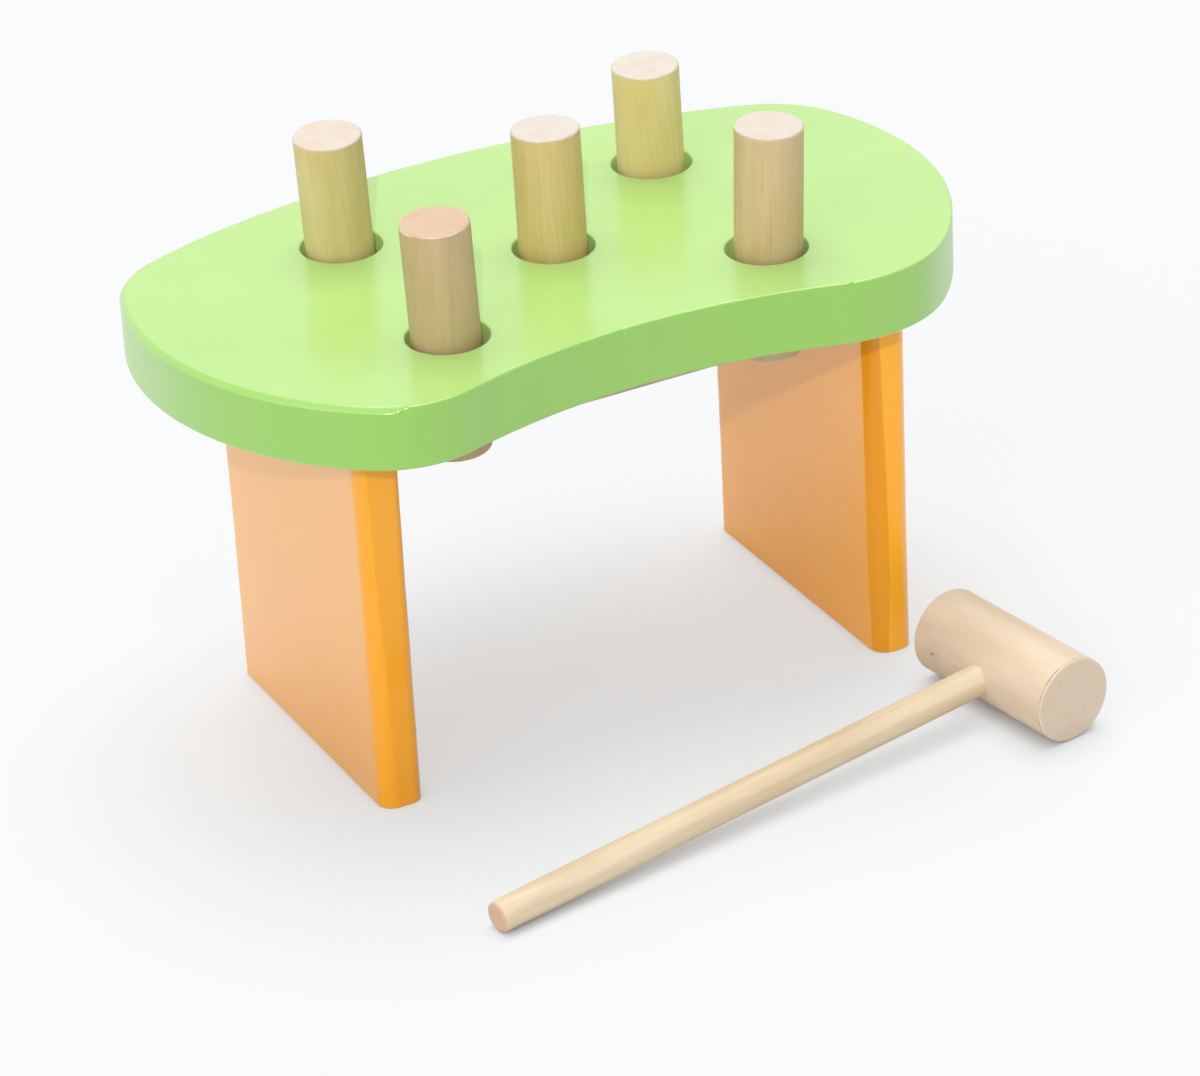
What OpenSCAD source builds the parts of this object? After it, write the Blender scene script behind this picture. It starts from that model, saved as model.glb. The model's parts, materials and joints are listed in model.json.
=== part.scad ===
// Peg pounding bench: a painted, kidney-shaped board on two plank legs, five round
// pegs held by rubber rings under the board, and a small mallet that lies in front.
// Millimetres, +Z up, +X along the bench, the waist of the board towards -Y. The
// origin is on the floor, at the middle of the space that bench and mallet take up.

/* [Board] */
// Height of the board's top above the floor
bench_height = 169; // [130:1:220]
// Thickness of the board
board_thickness = 24; // [20:0.5:32]
// Radius that rounds the board's upper and lower edges
board_edge_radius = 2; // [1:0.1:3]
// Distance of the back left corner's centre from the centre hole, along the bench
back_left_x = 113.2; // [105:0.1:125]
// Distance of the back left corner's centre from the centre hole, towards the back
back_left_y = 36.4; // [30:0.1:42]
// Radius of the back left corner
back_left_radius = 37; // [32:0.1:44]
// Distance of the back right corner's centre from the centre hole, along the bench
back_right_x = 103.3; // [98:0.1:112]
// Distance of the back right corner's centre from the centre hole, towards the back
back_right_y = 28.6; // [24:0.1:36]
// Radius of the back right corner
back_right_radius = 44.1; // [38:0.1:50]
// Distance of the front left lobe's centre from the centre hole, along the bench
front_left_x = 88.1; // [84:0.1:96]
// Distance of the front left lobe's centre from the centre hole, towards the front
front_left_y = 47.7; // [42:0.1:54]
// Radius of the front left lobe
front_left_radius = 40; // [34:0.1:46]
// Distance of the front right lobe's centre from the centre hole, along the bench
front_right_x = 85.5; // [80:0.1:92]
// Distance of the front right lobe's centre from the centre hole, towards the front
front_right_y = 39.6; // [34:0.1:44]
// Radius of the front right lobe
front_right_radius = 48.5; // [42:0.1:54]
// Radius of the long bow along the back
back_bow_radius = 361; // [300:1:480]
// Radius of the bow round the left end
left_bow_radius = 116; // [108:1:140]
// Radius of the bow round the right end
right_bow_radius = 111.5; // [106:0.5:136]
// Radius of the hollow waist along the front
waist_radius = 230; // [190:1:300]

/* [Holes] */
// Distance between the left and right holes, centre to centre
hole_spacing_x = 127.6; // [118:0.2:134]
// Distance between the back and front holes, centre to centre
hole_spacing_y = 87.6; // [80:0.2:92]
// Shift of the two back holes to the right, as on this hand-drilled board
back_row_shift = 1; // [0:0.1:2]
// Shift of the centre hole to the right
centre_shift = 0.8; // [0:0.1:2]
// Diameter of each hole in the board
hole_diameter = 30.2; // [29:0.1:33]
// Radius that rounds each hole's upper rim
hole_rim_radius = 0.6; // [0.3:0.1:1.2]

/* [Rings] */
// Outer diameter of the rubber ring in each hole
ring_diameter = 38; // [36:0.5:42]
// Height of the rubber ring
ring_height = 6; // [4:0.5:8]
// Height of the ring's inner land, which grips the peg
ring_land = 2.4; // [1.5:0.1:3.5]
// How far the ring's inner chamfers open towards its faces
ring_chamfer = 1.6; // [0.8:0.1:2]
// Space between the ring's land and the peg
ring_clearance = 0.05; // [0.02:0.01:0.09]

/* [Ring plate] */
// Thickness of the plywood plate that holds the rings in
plate_thickness = 3; // [2.5:0.1:5]
// Distance of the plate's front edge from the centre hole
plate_front = 69; // [64:0.5:70]
// Distance of the plate's back edge from the centre hole
plate_back = 66; // [62:0.5:72]
// Radius of the plate's corners
plate_corner_radius = 9; // [4:0.5:14]
// Gap between the plate and each leg
plate_gap = 1.5; // [0.8:0.1:3]
// Diameter of the plate's clearance holes for the pegs
plate_hole_diameter = 29; // [28.5:0.1:32]
// Distance of the screws from the plate's front and back edges
screw_inset = 8; // [6:0.5:10]
// Distance of the outer screws from the plate's ends
screw_end_inset = 10.7; // [8:0.1:18]
// Diameter of the screws' shank
screw_diameter = 3; // [2.5:0.1:4]
// Length of the screws under the head's rim
screw_length = 16; // [12:0.5:20]
// Diameter of the blunt tip of the screws
screw_tip_diameter = 0.5; // [0.3:0.1:1]
// Diameter of the countersunk screw heads
screw_head_diameter = 6; // [5:0.1:7]
// Width of the cross slot across a screw head
screw_slot_length = 3.4; // [2.5:0.1:4.5]
// Thickness of the cross slot's arms
screw_slot_width = 0.7; // [0.5:0.1:1]
// Depth of the cross slot
screw_slot_depth = 1; // [0.6:0.1:1.2]

/* [Legs] */
// Thickness of the plank legs
leg_thickness = 16.2; // [14:0.1:20]
// Width of the legs from front to back
leg_width = 122; // [100:1:130]
// Distance of each leg's middle from the centre hole, along the bench
leg_x = 102.3; // [98:0.1:106]
// Distance of the legs' middle from the centre hole, towards the front
leg_y = 2.1; // [0:0.1:6]
// Radius that rounds the four upright corners of a leg
leg_corner_radius = 6; // [3:0.5:6.5]
// Size of the chamfer round the feet
foot_chamfer = 0.3; // [0.2:0.1:2]
// Diameter of the hidden dowels
dowel_diameter = 8; // [6:0.5:9]
// Length of each dowel
dowel_length = 34; // [28:1:44]
// Depth to which a dowel enters the board
dowel_in_board = 14; // [10:1:16]
// Distance between a leg's dowels
dowel_spacing = 42; // [34:1:48]
// Size of the chamfer on a dowel's ends
dowel_chamfer = 1; // [0.5:0.1:1.5]

/* [Pegs] */
// Diameter of the pegs
peg_diameter = 25; // [24:0.1:27]
// Length of the pegs
peg_length = 88; // [80:1:100]
// Size of the chamfer on a peg's ends
peg_chamfer = 0.7; // [0.4:0.1:1.5]
// Height of the back left peg above the board
back_left_stand = 44.9; // [34:0.1:50]
// Height of the front left peg above the board
front_left_stand = 44.3; // [34:0.1:50]
// Height of the centre peg above the board
centre_stand = 45.5; // [34:0.1:50]
// Height of the back right peg above the board
back_right_stand = 39.7; // [34:0.1:50]
// Height of the front right peg above the board
front_right_stand = 47.7; // [34:0.1:50]
// Lean of the back left peg to the left, in degrees
back_left_lean = 2.5; // [-3:0.1:3]
// Lean of the front left peg to the left, in degrees
front_left_lean = 1.9; // [-3:0.1:3]
// Lean of the centre peg to the left, in degrees
centre_lean = -0.2; // [-3:0.1:3]
// Lean of the back right peg to the left, in degrees
back_right_lean = 1.1; // [-3:0.1:3]
// Lean of the front right peg to the left, in degrees
front_right_lean = -1.6; // [-3:0.1:3]
// Lean of the back left peg to the front, in degrees
back_left_pitch = 1.4; // [-3:0.1:3]
// Lean of the front left peg to the front, in degrees
front_left_pitch = 0.1; // [-3:0.1:3]
// Lean of the centre peg to the front, in degrees
centre_pitch = -1.6; // [-3:0.1:3]
// Lean of the back right peg to the front, in degrees
back_right_pitch = 0.7; // [-3:0.1:3]
// Lean of the front right peg to the front, in degrees
front_right_pitch = 1.3; // [-3:0.1:3]

/* [Mallet] */
// Diameter of the mallet's head
head_diameter = 32.6; // [30:0.2:40]
// Length of the mallet's head
head_length = 70; // [60:0.5:80]
// Size of the chamfer on the head's ends
head_chamfer = 0.8; // [0.4:0.1:2]
// Diameter of the handle
handle_diameter = 11.8; // [11:0.1:14]
// Length of the handle beyond the head's axis
handle_reach = 232.5; // [200:0.5:260]
// Depth of the handle's blind socket, past the head's axis
socket_past_axis = 8; // [4:0.5:11]
// Size of the rounding on the handle's free end
handle_end_radius = 1.6; // [0.8:0.1:3]
// Direction in which the handle points, from +X towards +Y, in degrees
handle_heading = 189; // [180:0.5:200]
// Distance of the head's middle from the centre hole, along the bench
mallet_x = 117; // [110:0.1:130]
// Distance of the head's middle from the centre hole, towards the front
mallet_y = 118.5; // [112:0.1:130]

/* [Hidden] */
$fn = 96;
// Overrun of every cut past the face that it goes through
overrun = 1;
// Steps in which each arc of the board's outline is built
outline_steps = 14;
// Steps in which the board's rounded edges are built, over a quarter turn
edge_steps = 4;
quarter_turn = 90;

// Points where two circles meet: side 1 is left of the way from c1 to c2, side -1 right
function circles_meet(c1, r1, c2, r2, side) =
    let (gap = norm(c2 - c1),
         along = (r1 * r1 - r2 * r2 + gap * gap) / (2 * gap),
         across = sqrt(max(0, r1 * r1 - along * along)),
         u = (c2 - c1) / gap)
    c1 + along * u + side * across * [-u[1], u[0]];
// Direction from a to b, in degrees
function heading(a, b) = atan2(b[1] - a[1], b[0] - a[0]);
// Point at a distance and direction from c
function polar(c, r, a) = c + r * [cos(a), sin(a)];

// Centres of the four corner circles, from the centre hole
back_left = [-back_left_x, back_left_y];
back_right = [back_right_x, back_right_y];
front_left = [-front_left_x, -front_left_y];
front_right = [front_right_x, -front_right_y];

// Centres of the bows that join the corner circles without a kink
back_bow = circles_meet(back_left, back_bow_radius - back_left_radius,
    back_right, back_bow_radius - back_right_radius, -1);
left_bow = circles_meet(back_left, left_bow_radius - back_left_radius,
    front_left, left_bow_radius - front_left_radius, 1);
right_bow = circles_meet(back_right, right_bow_radius - back_right_radius,
    front_right, right_bow_radius - front_right_radius, -1);
waist = circles_meet(front_left, waist_radius + front_left_radius,
    front_right, waist_radius + front_right_radius, -1);

// Turn from direction a to direction b, anticlockwise
function turn(a, b) = ((b - a) % 360 + 360) % 360;
// One arc of the outline: centre, radius, start, sweep, and whether it is hollow
function arc(c, r, from, to, hollow) =
    let (a = heading(c, from[0]) + from[1], b = heading(c, to[0]) + to[1]) [c, r, a, turn(a, b), hollow];

// A bow's ends lie beyond the corners' centres, and a corner's ends lie away from the bows'
// centres: the second value is the half turn that this takes. The waist bulges inwards.
OUTLINE = [
    arc(back_bow, back_bow_radius, [back_right, 0], [back_left, 0], false),
    arc(back_left, back_left_radius, [back_bow, 180], [left_bow, 180], false),
    arc(left_bow, left_bow_radius, [back_left, 0], [front_left, 0], false),
    arc(front_left, front_left_radius, [left_bow, 180], [waist, 0], false),
    arc(waist, waist_radius, [front_right, 0], [front_left, 0], true),
    arc(front_right, front_right_radius, [waist, 0], [right_bow, 180], false),
    arc(right_bow, right_bow_radius, [front_right, 0], [back_right, 0], false),
    arc(back_right, back_right_radius, [right_bow, 180], [back_bow, 180], false)
];

// Half the length of the ring plate, which fits between the legs
plate_half = leg_x - leg_thickness / 2 - plate_gap;

// Heights above the floor
board_bottom = bench_height - board_thickness;
plate_bottom = board_bottom - plate_thickness;
ring_middle = board_bottom + ring_height / 2;

// Places of the holes, and what each peg does in its hole
HOLES = [
    [back_row_shift - hole_spacing_x / 2, hole_spacing_y / 2],
    [-hole_spacing_x / 2, -hole_spacing_y / 2],
    [centre_shift, 0],
    [back_row_shift + hole_spacing_x / 2, hole_spacing_y / 2],
    [hole_spacing_x / 2, -hole_spacing_y / 2]
];
STANDS = [back_left_stand, front_left_stand, centre_stand, back_right_stand, front_right_stand];
LEANS = [back_left_lean, front_left_lean, centre_lean, back_right_lean, front_right_lean];
PITCHES = [back_left_pitch, front_left_pitch, centre_pitch, back_right_pitch, front_right_pitch];

// Places of the plate's screws and of one leg's dowels
SCREWS = [
    for (x = [screw_end_inset - plate_half, 0, plate_half - screw_end_inset])
        for (y = [screw_inset - plate_front, plate_back - screw_inset]) [x, y]
];
DOWELS = [for (i = [-1, 0, 1]) i * dowel_spacing - leg_y];

// The mallet rests on its head and on the rounded end of its handle, which sets its tilt
head_radius = head_diameter / 2;
handle_radius = handle_diameter / 2;
end_reach = handle_reach - handle_end_radius;
end_drop = handle_radius - handle_end_radius;
mallet_tilt = asin((head_radius - handle_end_radius) / norm([end_reach, end_drop]))
    - atan2(end_drop, end_reach);

// How far bench and mallet reach from the centre hole, so that the set is centred
handle_front = -cos(mallet_tilt) * sin(handle_heading);
handle_end_front = mallet_y + end_reach * handle_front
    + end_drop * sqrt(1 - handle_front * handle_front) + handle_end_radius;
head_end_front = mallet_y + head_length / 2 * abs(cos(handle_heading))
    + (head_radius - head_chamfer) * abs(sin(handle_heading));
front_reach = max(handle_end_front, head_end_front);
back_reach = back_bow[1] + back_bow_radius;
left_reach = left_bow_radius - left_bow[0];
right_reach = right_bow[0] + right_bow_radius;
set_x = (left_reach - right_reach) / 2;
set_y = (front_reach - back_reach) / 2;

// Colours as the photograph shows them
green_paint = [0.56, 0.82, 0.36];
orange_paint = [0.96, 0.60, 0.22];
pale_wood = [0.88, 0.76, 0.58];
peg_wood = [0.86, 0.74, 0.52];
plywood = [0.72, 0.62, 0.50];
dark_rubber = [0.20, 0.19, 0.18];
zinc = [0.72, 0.72, 0.70];

// Moves a bench piece from the centre hole's place to the set's place
module on_bench() {
    translate([set_x, set_y, 0])
        children();
}

// Moves a piece along a peg's leaning axis, from the middle of its ring
module on_peg_axis(i) {
    on_bench()
        translate([HOLES[i][0], HOLES[i][1], ring_middle])
            rotate([PITCHES[i], -LEANS[i], 0])
                children();
}

// Moves a mallet piece from the head's middle, handle along +X, to where the mallet lies
module on_mallet() {
    translate([set_x + mallet_x, set_y - mallet_y, head_radius])
        rotate([0, 0, handle_heading])
            rotate([0, mallet_tilt, 0])
                children();
}

// The outline's points at an inset, anticlockwise: hollow arcs are walked backwards
function outline_points(inset, z) = [
    for (a = OUTLINE)
        for (i = [0:outline_steps - 1])
            let (along = a[3] * i / outline_steps,
                 p = a[4]
                    ? polar(a[0], a[1] + inset, a[2] + a[3] - along)
                    : polar(a[0], a[1] - inset, a[2] + along))
            [p[0], p[1], z]
];

// The board's solid: the outline at every level of its rounded edges, joined up
module board_body() {
    turns = [for (k = [0:edge_steps]) quarter_turn * k / edge_steps];
    insets = [for (t = turns) board_edge_radius * (1 - sin(t))];
    rises = [for (t = turns) board_edge_radius * (1 - cos(t))];
    count = len(OUTLINE) * outline_steps;
    levels = 2 * len(turns);
    points = [
        for (k = [0:edge_steps])
            each outline_points(insets[k], rises[k]),
        for (k = [edge_steps:-1:0])
            each outline_points(insets[k], board_thickness - rises[k])
    ];
    walls = [
        for (level = [0:levels - 2])
            for (i = [0:count - 1])
                let (j = (i + 1) % count, low = level * count, high = low + count)
                [low + i, high + i, high + j, low + j]
    ];
    bottom = [for (i = [0:count - 1]) i];
    top = [for (i = [count - 1:-1:0]) (levels - 1) * count + i];
    polyhedron(points, concat([bottom, top], walls));
}

// Turned solid, chamfered at both ends, standing on the origin
module turned(r, length, chamfer_low, chamfer_high) {
    rotate_extrude()
        polygon([
            [0, 0],
            [r - chamfer_low, 0],
            [r, chamfer_low],
            [r, length - chamfer_high],
            [r - chamfer_high, length],
            [0, length]
        ]);
}

// The green board, with five holes, ring seats, dowel holes and screw holes
module bench_board() {
    color(green_paint)
        on_bench()
            difference() {
                translate([0, 0, board_bottom])
                    board_body();
                for (hole = HOLES)
                    translate([hole[0], hole[1], board_bottom])
                        hole_cutter();
                dowel_forms();
                screw_forms();
            }
}

// A peg hole, its rounded rim and the seat for its ring
module hole_cutter() {
    translate([0, 0, -overrun])
        cylinder(d = hole_diameter, h = board_thickness + 2 * overrun);
    translate([0, 0, -overrun])
        cylinder(d = ring_diameter, h = ring_height + overrun);
    translate([0, 0, board_thickness])
        rotate_extrude()
            rim_profile();
}

// Profile of the cutter that rounds a hole's upper rim
module rim_profile() {
    difference() {
        translate([hole_diameter / 2 - overrun, -hole_rim_radius])
            square(overrun + hole_rim_radius);
        translate([hole_diameter / 2 + hole_rim_radius, -hole_rim_radius])
            circle(hole_rim_radius);
    }
}

// Upright section through a leg, with a chamfer at the foot; half is half its width
module leg_section(half) {
    polygon([
        [foot_chamfer - half, 0],
        [half - foot_chamfer, 0],
        [half, foot_chamfer],
        [half, board_bottom],
        [-half, board_bottom],
        [-half, foot_chamfer]
    ]);
}

// Half of the section through one rounded corner of a leg
module leg_corner_section() {
    r = leg_corner_radius;
    polygon([
        [0, 0],
        [r - foot_chamfer, 0],
        [r, foot_chamfer],
        [r, board_bottom],
        [0, board_bottom]
    ]);
}

// A plank leg with rounded upright corners; side is -1 for the left leg, 1 for the right
module leg(side) {
    x = leg_thickness / 2 - leg_corner_radius;
    y = leg_width / 2 - leg_corner_radius;
    color(orange_paint)
        on_bench()
            difference() {
                translate([side * leg_x, -leg_y, 0]) {
                    for (corner = [[-x, -y], [-x, y], [x, -y], [x, y]])
                        translate(corner)
                            rotate_extrude()
                                leg_corner_section();
                    translate([0, y, 0])
                        rotate([90, 0, 0])
                            linear_extrude(2 * y)
                                leg_section(leg_thickness / 2);
                    rotate([0, 0, 90])
                        translate([0, x, 0])
                            rotate([90, 0, 0])
                                linear_extrude(2 * x)
                                    leg_section(leg_width / 2);
                }
                dowel_forms();
            }
}

// The hidden dowels of both legs
module dowel_forms() {
    for (side = [-1, 1])
        for (y = DOWELS)
            translate([side * leg_x, y, board_bottom + dowel_in_board - dowel_length])
                turned(dowel_diameter / 2, dowel_length, dowel_chamfer, dowel_chamfer);
}

module leg_dowels() {
    color(pale_wood)
        on_bench()
            dowel_forms();
}

// Shape of a countersunk screw, head down in the plate, without its slot
module screw_form() {
    r = screw_diameter / 2;
    head = screw_head_diameter / 2;
    rotate_extrude()
        polygon([
            [0, 0],
            [head, 0],
            [r, head - r],
            [r, screw_length - screw_diameter],
            [screw_tip_diameter / 2, screw_length],
            [0, screw_length]
        ]);
}

module screw_forms() {
    for (place = SCREWS)
        translate([place[0], place[1], plate_bottom])
            screw_form();
}

// The screws that hold the ring plate
module plate_screws() {
    color(zinc)
        on_bench()
            difference() {
                screw_forms();
                for (place = SCREWS)
                    for (turned_by = [0, 90])
                        translate([place[0], place[1], plate_bottom])
                            rotate([0, 0, turned_by])
                                cube([screw_slot_length, screw_slot_width, 2 * screw_slot_depth],
                                    center = true);
            }
}

// The plate under the board; its straight front edge shows below the waist
module ring_plate() {
    half = plate_half;
    r = plate_corner_radius;
    color(plywood)
        on_bench()
            difference() {
                translate([0, 0, plate_bottom])
                    linear_extrude(plate_thickness)
                        union() {
                            translate([r - half, -plate_front])
                                square([2 * (half - r), plate_front + plate_back]);
                            translate([-half, r - plate_front])
                                square([2 * half, plate_front + plate_back - 2 * r]);
                            for (x = [r - half, half - r])
                                for (y = [r - plate_front, plate_back - r])
                                    translate([x, y])
                                        circle(r);
                        }
                for (hole = HOLES)
                    translate([hole[0], hole[1], plate_bottom - overrun])
                        cylinder(d = plate_hole_diameter, h = plate_thickness + 2 * overrun);
                screw_forms();
            }
}

// A rubber ring: round outside, with an inner land that leans with its peg
module ring(i) {
    r = peg_diameter / 2 + ring_clearance;
    open = r + ring_chamfer;
    color(dark_rubber)
        difference() {
            on_bench()
                translate([HOLES[i][0], HOLES[i][1], board_bottom])
                    cylinder(d = ring_diameter, h = ring_height);
            on_peg_axis(i)
                rotate_extrude()
                    polygon([
                        [0, -ring_height],
                        [open, -ring_height],
                        [open, -ring_height / 2],
                        [r, -ring_land / 2],
                        [r, ring_land / 2],
                        [open, ring_height / 2],
                        [open, ring_height],
                        [0, ring_height]
                    ]);
        }
}

// A peg, chamfered at both ends
module peg(i) {
    color(peg_wood)
        on_peg_axis(i)
            translate([0, 0, bench_height - ring_middle + STANDS[i] - peg_length])
                turned(peg_diameter / 2, peg_length, peg_chamfer, peg_chamfer);
}

// The handle's form, along +X from the bottom of its socket
module handle_form() {
    rotate([0, 90, 0])
        translate([0, 0, -socket_past_axis])
            rotate_extrude() {
                difference() {
                    square([handle_radius, socket_past_axis + handle_reach]);
                    translate([end_drop, socket_past_axis + end_reach])
                        square(handle_end_radius + overrun);
                }
                translate([end_drop, socket_past_axis + end_reach])
                    intersection() {
                        circle(handle_end_radius);
                        square(handle_end_radius);
                    }
            }
}

// The mallet's head, with its blind socket
module mallet_head() {
    color(pale_wood)
        on_mallet()
            difference() {
                rotate([-90, 0, 0])
                    translate([0, 0, -head_length / 2])
                        turned(head_radius, head_length, head_chamfer, head_chamfer);
                handle_form();
            }
}

module mallet_handle() {
    color(pale_wood)
        on_mallet()
            handle_form();
}

bench_board();
leg(-1);  // left_leg
leg(1);  // right_leg
leg_dowels();
ring_plate();
plate_screws();
ring(0);  // back_left_ring
ring(1);  // front_left_ring
ring(2);  // centre_ring
ring(3);  // back_right_ring
ring(4);  // front_right_ring
peg(0);  // back_left_peg
peg(1);  // front_left_peg
peg(2);  // centre_peg
peg(3);  // back_right_peg
peg(4);  // front_right_peg
mallet_head();
mallet_handle();
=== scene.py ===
import bpy, math, json
import numpy as np
from mathutils import Vector, Matrix, noise
from mathutils.geometry import delaunay_2d_cdt

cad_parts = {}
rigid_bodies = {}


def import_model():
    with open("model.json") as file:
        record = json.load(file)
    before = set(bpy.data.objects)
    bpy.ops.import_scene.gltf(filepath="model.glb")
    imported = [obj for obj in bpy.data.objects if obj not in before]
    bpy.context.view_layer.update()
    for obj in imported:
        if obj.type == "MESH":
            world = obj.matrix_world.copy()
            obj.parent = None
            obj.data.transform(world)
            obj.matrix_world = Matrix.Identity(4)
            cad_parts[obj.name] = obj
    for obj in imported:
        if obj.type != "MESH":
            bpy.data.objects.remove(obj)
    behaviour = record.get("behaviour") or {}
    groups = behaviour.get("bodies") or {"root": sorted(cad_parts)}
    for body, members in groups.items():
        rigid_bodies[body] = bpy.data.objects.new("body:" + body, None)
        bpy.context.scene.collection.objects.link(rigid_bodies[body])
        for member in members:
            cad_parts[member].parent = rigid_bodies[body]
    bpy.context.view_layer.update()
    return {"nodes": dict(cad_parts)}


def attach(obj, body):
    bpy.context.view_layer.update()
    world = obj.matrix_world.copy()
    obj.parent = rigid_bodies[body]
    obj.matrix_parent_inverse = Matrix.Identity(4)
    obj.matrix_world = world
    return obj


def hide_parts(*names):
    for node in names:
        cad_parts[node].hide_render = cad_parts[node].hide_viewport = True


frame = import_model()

MM = 0.001

# Shape of the bench as in the frame, in mm, from the centre hole and the floor
SET_X, SET_Y = 1.409, 34.2696
TOP, THICK = 169.0, 24.0
BOTTOM = TOP - THICK
HOLE_R, RIM, SEAT_R, SEAT_H = 15.1, 0.6, 19.0, 6.0
HOLES = {"back_left": (-62.8, 43.8), "front_left": (-63.8, -43.8), "centre": (0.8, 0.0),
         "back_right": (64.8, 43.8), "front_right": (63.8, -43.8)}
# Corner circles of the board's outline, by centre and radius
BACK_LEFT, BACK_RIGHT = ((-113.2, 36.4), 37.0), ((103.3, 28.6), 44.1)
FRONT_LEFT, FRONT_RIGHT = ((-88.1, -47.7), 40.0), ((85.5, -39.6), 48.5)
# Radii of the bows that join them
BACK_BOW, LEFT_BOW, RIGHT_BOW, WAIST = 361.0, 116.0, 111.5, 230.0
PLATE_T = 3.0
PEG_R, PEG_LEN = 12.5, 88.0
# For each peg: height above the board, lean to the left, lean to the front
PEGS = {"back_left": (44.9, 2.5, 1.4), "front_left": (44.3, 1.9, 0.1), "centre": (45.5, -0.2, -1.6),
        "back_right": (39.7, 1.1, 0.7), "front_right": (47.7, -1.6, 1.3)}
RING_MID = BOTTOM + SEAT_H / 2
LEG_X, LEG_Y, LEG_T, LEG_W = 102.3, -2.1, 16.2, 122.0
HEAD_R, HEAD_LEN = 16.3, 70.0
# The handle starts in the head, SOCKET behind its middle, and HANDLE_END is its worked far end
HANDLE_R, HANDLE_REACH, SOCKET, HANDLE_END = 5.9, 232.5, 8.0, 1.6
HANDLE_LEN = HANDLE_REACH + SOCKET
# Place of the mallet's head and direction of its handle in degrees
MALLET_X, MALLET_Y, MALLET_TURN = 117.0, -118.5, 189.0

# Number of points round a hole, a peg, the mallet's head and its handle
HOLE_POINTS, PEG_POINTS, HEAD_POINTS, HANDLE_POINTS = 128, 144, 192, 96
# Distance between points on the board's outline
OUTLINE_STEP = 0.7
# Least hollow of the board's sanded side, and a margin that keeps it inside the part's own box
LEAST_HOLLOW, MARGIN = 0.07, 0.01
# Points nearer to a turned piece's axis than this aren't moved
AXIS = 0.01


def lin(r, g, b):
    """Colour given as 0 to 255, as linear values."""
    shares = (v / 255 for v in (r, g, b))
    return tuple(v / 12.92 if v < 0.0404 else ((v + 0.055) / 1.055) ** 2.4 for v in shares) + (1.0,)


def deeper(colour, share):
    """A darker tone of a colour."""
    return tuple(v * share for v in colour[:3]) + (1.0,)


# Camera at the photograph's angle: its axes, its shift in mm, and the lens in pixels
RIGHT = Vector((0.88083, -0.47086, -0.04926))
DOWN = Vector((-0.26295, -0.40005, -0.87796))
AHEAD = Vector((0.39369, 0.78629, -0.47619))
SHIFT = (-17.39219, -104.80666, 1877.46053)
LENS_PIXELS, PHOTO_WIDTH, SENSOR = 5231.43, 1200, 36
eye = -(RIGHT * SHIFT[0] + DOWN * SHIFT[1] + AHEAD * SHIFT[2])
eye = (eye + Vector((SET_X, SET_Y, TOP))) * MM
cam_data = bpy.data.cameras.new("photo_camera")
cam_data.sensor_width = SENSOR
cam_data.sensor_fit = "HORIZONTAL"
cam_data.lens = SENSOR * LENS_PIXELS / PHOTO_WIDTH
cam_data.clip_start = 0.05
cam_data.clip_end = 30
cam = bpy.data.objects.new("photo_camera", cam_data)
bpy.context.collection.objects.link(cam)
turn = Matrix((RIGHT, -DOWN, -AHEAD)).transposed()
cam.matrix_world = Matrix.Translation(eye) @ turn.to_4x4()
bpy.context.scene.camera = cam
bpy.context.scene.view_settings.view_transform = "Standard"


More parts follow.
